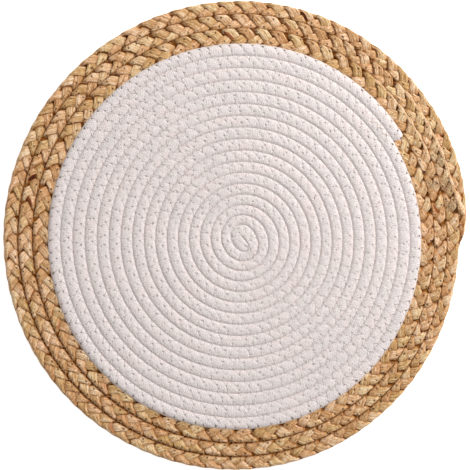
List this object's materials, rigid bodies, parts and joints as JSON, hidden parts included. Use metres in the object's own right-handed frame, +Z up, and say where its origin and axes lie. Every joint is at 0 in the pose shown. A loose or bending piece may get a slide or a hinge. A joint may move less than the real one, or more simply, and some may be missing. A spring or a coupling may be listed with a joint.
{
  "type": "woven trivet",
  "caption": "Round woven trivet: a flat spiral coil of white cotton rope with a sewn border of plaited straw-coloured leaf, for hot pots or a place setting.",
  "frame": {"origin": "under the middle of the outline, on the surface the trivet lies on", "axes": "+Z up through the mat, +X towards the border's tucked tail, +Y away from the viewer as seen from above"},
  "size_m": [0.2983, 0.3032, 0.007],
  "materials": {
    "cotton_rope": "matte, braided cotton sheath with zigzag seams",
    "plaited_leaf": "satin, dried leaf strands in a flat three-strand plait"
  },
  "bodies": {
    "root": {"rope_coil": "cotton_rope", "braid_border": "plaited_leaf"}
  },
  "joints": []
}
